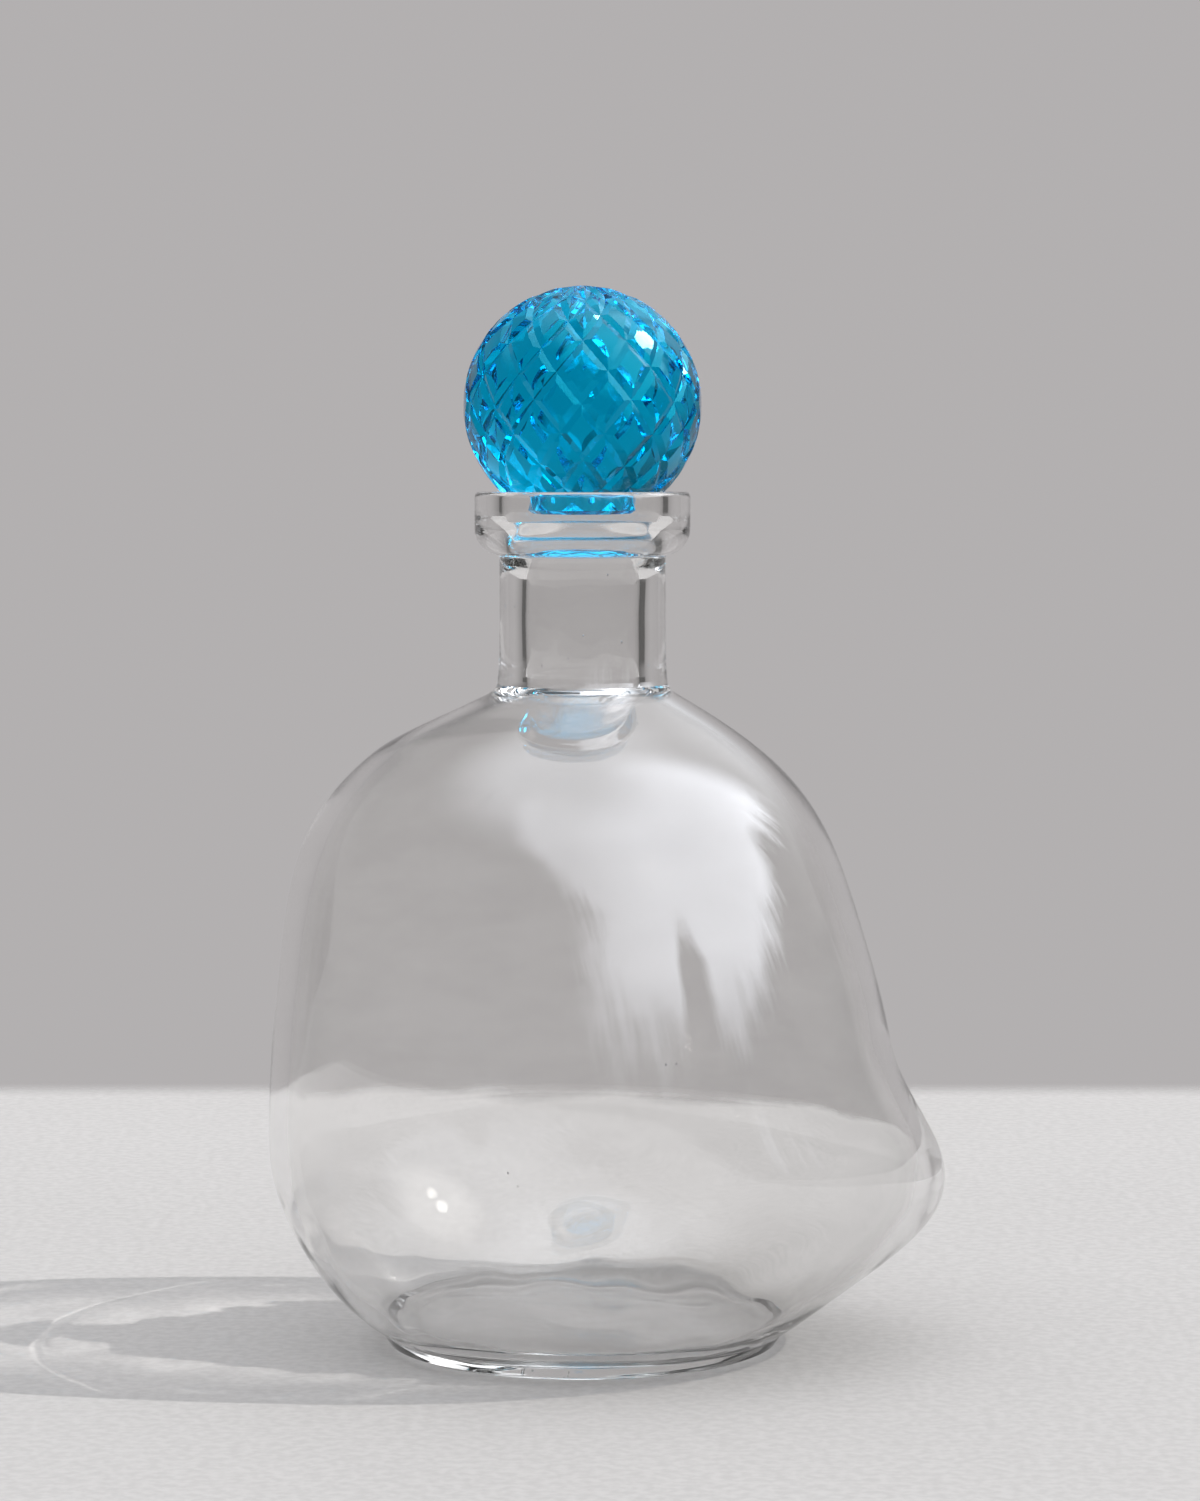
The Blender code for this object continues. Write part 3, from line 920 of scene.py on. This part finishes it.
# %% Blue glass
BLUE_IOR = 1.52
BLUE_TINTS = ((0.12, 0.61, 0.96, 1.0), (0.20, 0.68, 1.0, 1.0))
BLUE_SHEEN = (0.02, 0.85, 1.0, 1.0)
BLUE_LOSS = {"Color": (0.0, 0.972, 0.986, 1.0), "Density": 220.0}
BLUE_ROUGHNESS = 0.01
DULL_ROUGHNESS = 0.03
DULL_EDGES = (0.5, 0.75)
POLISH_HEIGHT = {"Strength": 0.03, "Distance": 0.0002}

wire, place = new_finish("blue_glass", ball_mesh)
cloud = clouds(wire, place, scale=60.0, detail=3.0)
polish = clouds(wire, place, scale=420.0, detail=4.0)
polish_marks = wire.node("ShaderNodeBump", None, {"Height": polish, **POLISH_HEIGHT})
blue_look = {
    "Base Color": cloud.mixed(*BLUE_TINTS),
    "Roughness": BLUE_ROUGHNESS + cloud.between(*DULL_EDGES) * DULL_ROUGHNESS,
    "Normal": polish_marks,
    "IOR": BLUE_IOR,
    "Specular Tint": BLUE_SHEEN,
}
end_glass(wire, blue_look, BLUE_LOSS)
print("blue glass has", len(wire.tree.nodes), "nodes")

# %% [markdown]
# The decanter stands on a plain pale floor that ends behind it, where a plain grey begins. The floor
# lies a hair under the glass: with no gap the underside would stop being the mirror that it is.

# %% Floor
FLOOR_GAP = 0.0002
FLOOR_BEHIND = 0.400
FLOOR_SIDE = 2.0
FLOOR_FRONT = 2.0

corners = [
    (-FLOOR_SIDE, -FLOOR_FRONT),
    (FLOOR_SIDE, -FLOOR_FRONT),
    (FLOOR_SIDE, FLOOR_BEHIND),
    (-FLOOR_SIDE, FLOOR_BEHIND),
]
floor_mesh = bpy.data.meshes.new("floor")
floor_mesh.from_pydata([(x, y, -FLOOR_GAP) for x, y in corners], [], [range(len(corners))])
floor = bpy.data.objects.new("floor", floor_mesh)
scene.collection.objects.link(floor)
print("floor lies", FLOOR_GAP * 1000, "mm under the glass")

# %% [markdown]
# The floor's finish is a matt pale grey with a fine grain and a few broad patches. At its far end it
# turns clear over a few centimetres, so that no hard line cuts through what the glass shows.

# %% Finish of the floor
FLOOR_FADE = (0.350, 0.382)  # where the floor turns into the plain grey behind
FLOOR_COLOURS = ((0.530, 0.523, 0.521, 1.0), (0.645, 0.637, 0.634, 1.0))
GRAIN_EDGES = (0.3, 0.7)
GRAIN_SHARE = 0.6
FLOOR_PATCH_SHARE = 0.4
FLOOR_ROUGHNESS = 0.85
FLOOR_SHINE = 0.2

wire, place = new_finish("pale_floor", floor_mesh)
grain = clouds(wire, place, scale=420.0, detail=5.0).between(*GRAIN_EDGES) * GRAIN_SHARE
grain = grain + clouds(wire, place, scale=9.0, detail=3.0) * FLOOR_PATCH_SHARE
floor_look = {
    "Base Color": grain.mixed(*FLOOR_COLOURS),
    "Roughness": FLOOR_ROUGHNESS,
    "Specular IOR Level": FLOOR_SHINE,
}
matt = wire.node("ShaderNodeBsdfPrincipled", None, floor_look)
how_far = wire.node("ShaderNodeSeparateXYZ", None, {"Vector": place}, output="Y")
see_past = wire.node("ShaderNodeBsdfTransparent")
near_and_far = {"Fac": how_far.between(*FLOOR_FADE), 1: matt, 2: see_past}
fading = wire.node("ShaderNodeMixShader", None, near_and_far)
wire.node("ShaderNodeOutputMaterial", None, {"Surface": fading})
print("floor ends", FLOOR_FADE[1], "m behind the neck's axis")

# %% [markdown]
# Glass shows what stands around it, bent and mirrored. Panels could be built for that, but they would
# get into other views. The world is drawn by direction instead, out of angles: how far to the side and
# how high. Light Path tells what kind of ray is asking, because a floor wants plain soft light, while
# glass wants contrast, and less of it once light has crossed both walls.

# %% Directions and rays
BOTH_WALLS = (2.5, 3.5)  # surfaces of glass that a ray has crossed

world = bpy.data.worlds.new("surroundings")
scene.world = world
world.use_nodes = True
world.node_tree.nodes.clear()
wire = Wire(world.node_tree)
way = wire.node("ShaderNodeTexCoord", output="Generated")
apart = wire.node("ShaderNodeSeparateXYZ", None, {"Vector": way})
to_right, to_back, upwards = [Wire(wire.tree, socket) for socket in apart.socket.node.outputs]
behind_angle = wire.sum("ARCTAN2", to_right, to_back)  # 0 behind the decanter, positive to the right
front_angle = wire.sum("ARCTAN2", to_right, 0 - to_back)  # 0 at the viewer, positive to the right
climb = wire.sum("ARCSINE", upwards)
path = wire.node("ShaderNodeLightPath")
ray = {output.name: Wire(wire.tree, output) for output in path.socket.node.outputs}
through = ray["Is Transmission Ray"]
mirrored = ray["Is Glossy Ray"]
deep = ray["Transmission Depth"].between(*BOTH_WALLS) * through


def past(angle, edge):
    """0 before and 1 after a soft edge, which is given by two angles in degrees."""
    return angle.between(*[math.radians(degrees) for degrees in edge])


def band(angle, rise, fall):
    return past(angle, rise) * (1 - past(angle, fall))


print("Light Path tells", len(ray), "things about a ray")

# %% [markdown]
# A large soft light stands high on the right in front. The front wall mirrors it as the pale patch on
# the body, and its lower edge has a notch. Such an edge is never clean on hand-blown glass, so noise
# shifts both angles before each soft edge, once in broad tatters and once drawn out into strands.

# %% Soft light
TATTERS = 0.35  # radians
STRANDS_ROUND = 16.0  # strands to a radian
STRAND_LEAN = 5.0
STRANDS_UP = 2.5
STREAKS_ASIDE = 0.35
STREAKS_UP = 0.5
LEFT_EDGE = math.radians(5)
LEFT_LEAN = math.radians(80)  # how far the left edge leans out to the top
LEFT_LEAN_RISE = (28, 90)  # degrees, as in all pairs here
LEFT_SOFTNESS = (-9, 12)
LOW_EDGE = math.radians(5)
NOTCH = ((39, 44), (50, 56))
NOTCH_HEIGHT = math.radians(18)
RIGHT_RISE = (58, 122)  # where the lower edge climbs to the right
RIGHT_HEIGHT = math.radians(26)
LOW_SOFTNESS = (-5, 7)
DIM_SIDE = (-10, 50)  # from its dim left to its full right
DIM_SHARE = 0.55
FULL_SHARE = 0.45  # added on the right
RIGHT_END = (122, 140)
TOP_END = (62, 86)
DEEP_LOSS = 0.8  # taken away once both walls are crossed

tatter = (clouds(wire, way, scale=5.0, detail=5.0) - 0.5) * TATTERS
strand_way = {"X": front_angle * STRANDS_ROUND + climb * STRAND_LEAN, "Y": climb * STRANDS_UP}
strands = wire.node("ShaderNodeCombineXYZ", None, strand_way)
streak = clouds(wire, strands, scale=1.0, detail=6.0, roughness=0.62) - 0.5
left_edge = LEFT_EDGE - past(climb, LEFT_LEAN_RISE) * LEFT_LEAN
low_edge = LOW_EDGE + band(front_angle, *NOTCH) * NOTCH_HEIGHT
low_edge = low_edge + past(front_angle, RIGHT_RISE) * RIGHT_HEIGHT
soft_light = past(front_angle + tatter + streak * STREAKS_ASIDE - left_edge, LEFT_SOFTNESS)
soft_light = soft_light * past(climb + tatter + streak * STREAKS_UP - low_edge, LOW_SOFTNESS)
soft_light = soft_light * (DIM_SHARE + past(front_angle, DIM_SIDE) * FULL_SHARE)
soft_light = soft_light * (1 - past(front_angle, RIGHT_END)) * (1 - past(climb, TOP_END))
soft_light = soft_light * (1 - deep * DEEP_LOSS)
print("soft light begins", round(math.degrees(LOW_EDGE)), "degrees up")

# %% [markdown]
# The room round it is plain: grey behind, dim above that on the left and bright on the right, and light
# overhead for the rim and the top of the ball. Two dark flags stand at the sides, and the thick neck
# bends them into its dark outlines. What glass mirrors from the sides and the front is darker, so that
# reflections stay quieter than the view through the glass.

# %% Room and flags
BACK_GREY = (0.450, 0.434, 0.436, 1.0)
UPPER_LEFT_GREY = (0.17, 0.166, 0.168, 1.0)
UPPER_RIGHT_GREY = (1.0, 1.02, 1.06, 1.0)
MIRRORED_GREY = (0.12, 0.116, 0.114, 1.0)
FLAG_GREY = (0.10, 0.098, 0.096, 1.0)
TOP_LIGHT = (2.3, 2.38, 2.5, 1.0)
SOFT_LIGHT_LOW = (1.5, 1.56, 1.68, 1.0)
SOFT_LIGHT_HIGH = (4.1, 4.25, 4.55, 1.0)
UPPER_RISE = (12, 30)  # degrees, as in all pairs here
UPPER_SIDES = (-12, 35)
MIRRORED_SIDES = (30, 75)
RIGHT_FLAG = ((48, 52), (66, 71))
LEFT_FLAG = ((54, 57), (66, 71))
FLAG_HEIGHT = ((-10, -5), (7, 12))
TOP_RISE = (48, 76)
SOFT_LIGHT_RISE = (2, 20)

upper_grey = past(behind_angle, UPPER_SIDES).mixed(UPPER_LEFT_GREY, UPPER_RIGHT_GREY)
room = past(climb, UPPER_RISE).mixed(BACK_GREY, upper_grey)
turned_away = wire.sum("ABSOLUTE", behind_angle)
room = (past(turned_away, MIRRORED_SIDES) * mirrored).mixed(room, MIRRORED_GREY)
flags = band(behind_angle, *RIGHT_FLAG) + band(0 - behind_angle, *LEFT_FLAG)
flags = flags * band(climb, *FLAG_HEIGHT) * (1 - deep)
room = flags.mixed(room, FLAG_GREY)
room = past(climb, TOP_RISE).mixed(room, TOP_LIGHT)
soft_colour = past(climb, SOFT_LIGHT_RISE).mixed(SOFT_LIGHT_LOW, SOFT_LIGHT_HIGH)
room = soft_light.mixed(room, soft_colour)
print("right flag from", RIGHT_FLAG[0][0], "to", RIGHT_FLAG[1][1], "degrees")

# %% [markdown]
# What is left is the plain light for the floor, and the sun's glint. Sunlight comes in through the
# right wall and is mirrored by the left one, low down, as two small bright spots in a soft glow. A lamp
# would scatter such spots over all the glass, so the sun is drawn in the world, for rays that were
# mirrored inside and have crossed both walls.

# %% Sun's glint
PLAIN_LOW = (0.50, 0.49, 0.485, 1.0)
PLAIN_HIGH = (1.0, 1.0, 1.02, 1.0)
PLAIN_RISE = (0, 70)
SUN_WAY = Vector((0.75, -0.07, 0.66)).normalized()  # towards the sun
GLOW_REACH = (20.0, 2.0)  # degrees from the sun's middle, where the glow begins and is full
GLOW_LIGHT = (2.6, 2.6, 2.6, 1.0)
GLINT_REACH = (3.0, 1.0)
GLINT_LIGHT = (80.0, 79.0, 77.0, 1.0)
SCATTERED = (0.0, 1.0)  # times that a matt surface scattered a ray
MIRRORED_ONCE = (0.5, 1.0)  # times that glass mirrored it

plain = past(climb, PLAIN_RISE).mixed(PLAIN_LOW, PLAIN_HIGH)
looking = wire.sum("MAXIMUM", wire.sum("MAXIMUM", through, mirrored), ray["Is Camera Ray"])
looking = looking * (1 - ray["Diffuse Depth"].between(*SCATTERED))
seen = looking.mixed(plain, room)
both_ways = {0: way, 1: SUN_WAY}
towards_sun = wire.node("ShaderNodeVectorMath", {"operation": "DOT_PRODUCT"}, both_ways, output="Value")
mirrored_inside = deep * ray["Glossy Depth"].between(*MIRRORED_ONCE)
for reach, colour in ((GLOW_REACH, GLOW_LIGHT), (GLINT_REACH, GLINT_LIGHT)):
    near_sun = towards_sun.between(*[math.cos(math.radians(degrees)) for degrees in reach])
    seen = (near_sun * mirrored_inside).mixed(seen, colour)
background = wire.node("ShaderNodeBackground", None, {"Color": seen, "Strength": 1.0})
wire.node("ShaderNodeOutputWorld", None, {"Surface": background})
print("surroundings have", len(world.node_tree.nodes), "nodes")

# %% [markdown]
# A sun lamp draws the shadow and the bright streaks in it, which are sunlight gathered by the glass.
# Plain path tracing hardly finds them, so glass and floor are marked for shadow caustics. Light linking
# keeps this lamp to the floor.

# %% Sun
SUN_WIDTH = math.radians(0.6)
SUN_STRENGTH = 1.65
SUN_COLOUR = (1.0, 0.98, 0.95)


def new_lamp(name, kind, away, lit):
    """A lamp that shines from a direction and lights one object alone."""
    lamp = bpy.data.objects.new(name, bpy.data.lights.new(name, kind))
    lamp.rotation_euler = (-away).to_track_quat("-Z", "Y").to_euler()
    lit_alone = bpy.data.collections.new("lit_by_" + name)
    lit_alone.objects.link(lit)
    lamp.light_linking.receiver_collection = lit_alone
    scene.collection.objects.link(lamp)
    return lamp


lamp = new_lamp("lamp", "SUN", SUN_WAY, floor)
lamp.data.angle = SUN_WIDTH
lamp.data.energy = SUN_STRENGTH
lamp.data.color = SUN_COLOUR
lamp.data.cycles.is_caustics_light = True
for glass in (vessel_glass, stopper_ball):
    glass.cycles.is_caustics_caster = True
floor.cycles.is_caustics_receiver = True
print("sun stands", round(math.degrees(math.asin(SUN_WAY.z))), "degrees high")

# %% [markdown]
# One lozenge of the ball flashes white. A second lamp, a small disk that lights the stopper alone, is
# set where that lozenge mirrors it to the viewer: the way to the viewer, turned over about the way that
# the lozenge faces.

# %% Flash on the stopper
SHINING_LOZENGE = (0.5, 2.5)  # numbers along the two sets of cuts
FLASH_AWAY = 0.80
FLASH_SIZE = 0.15
FLASH_POWER = 2.5
ball_centre = Vector((0.0, 0.0, BALL_HEIGHT))
longitude, latitude = on_ball(*SHINING_LOZENGE)
facing = at_turn(math.cos(latitude), longitude + CUT_FACING, math.sin(latitude))
to_viewer = (camera.location - ball_centre).normalized()
to_lamp = 2 * facing.dot(to_viewer) * facing - to_viewer
stopper_lamp = new_lamp("stopper_lamp", "AREA", to_lamp, stopper_ball)
stopper_lamp.data.shape = "DISK"
stopper_lamp.data.size = FLASH_SIZE
stopper_lamp.data.energy = FLASH_POWER
stopper_lamp.location = ball_centre + to_lamp * FLASH_AWAY
print("shining lozenge faces", [round(part, 2) for part in facing])

# %% [markdown]
# Light crosses many faces on its way through two walls, a thick base and a cut ball, so paths may turn
# often. A path that runs out of turns comes back black. Denoising clears the grain that is left.

# %% Light paths
PATH_TURNS = 24
paths = scene.cycles
paths.max_bounces = PATH_TURNS
paths.transmission_bounces = PATH_TURNS
paths.glossy_bounces = PATH_TURNS
paths.use_denoising = True
print("up to", PATH_TURNS, "turns")
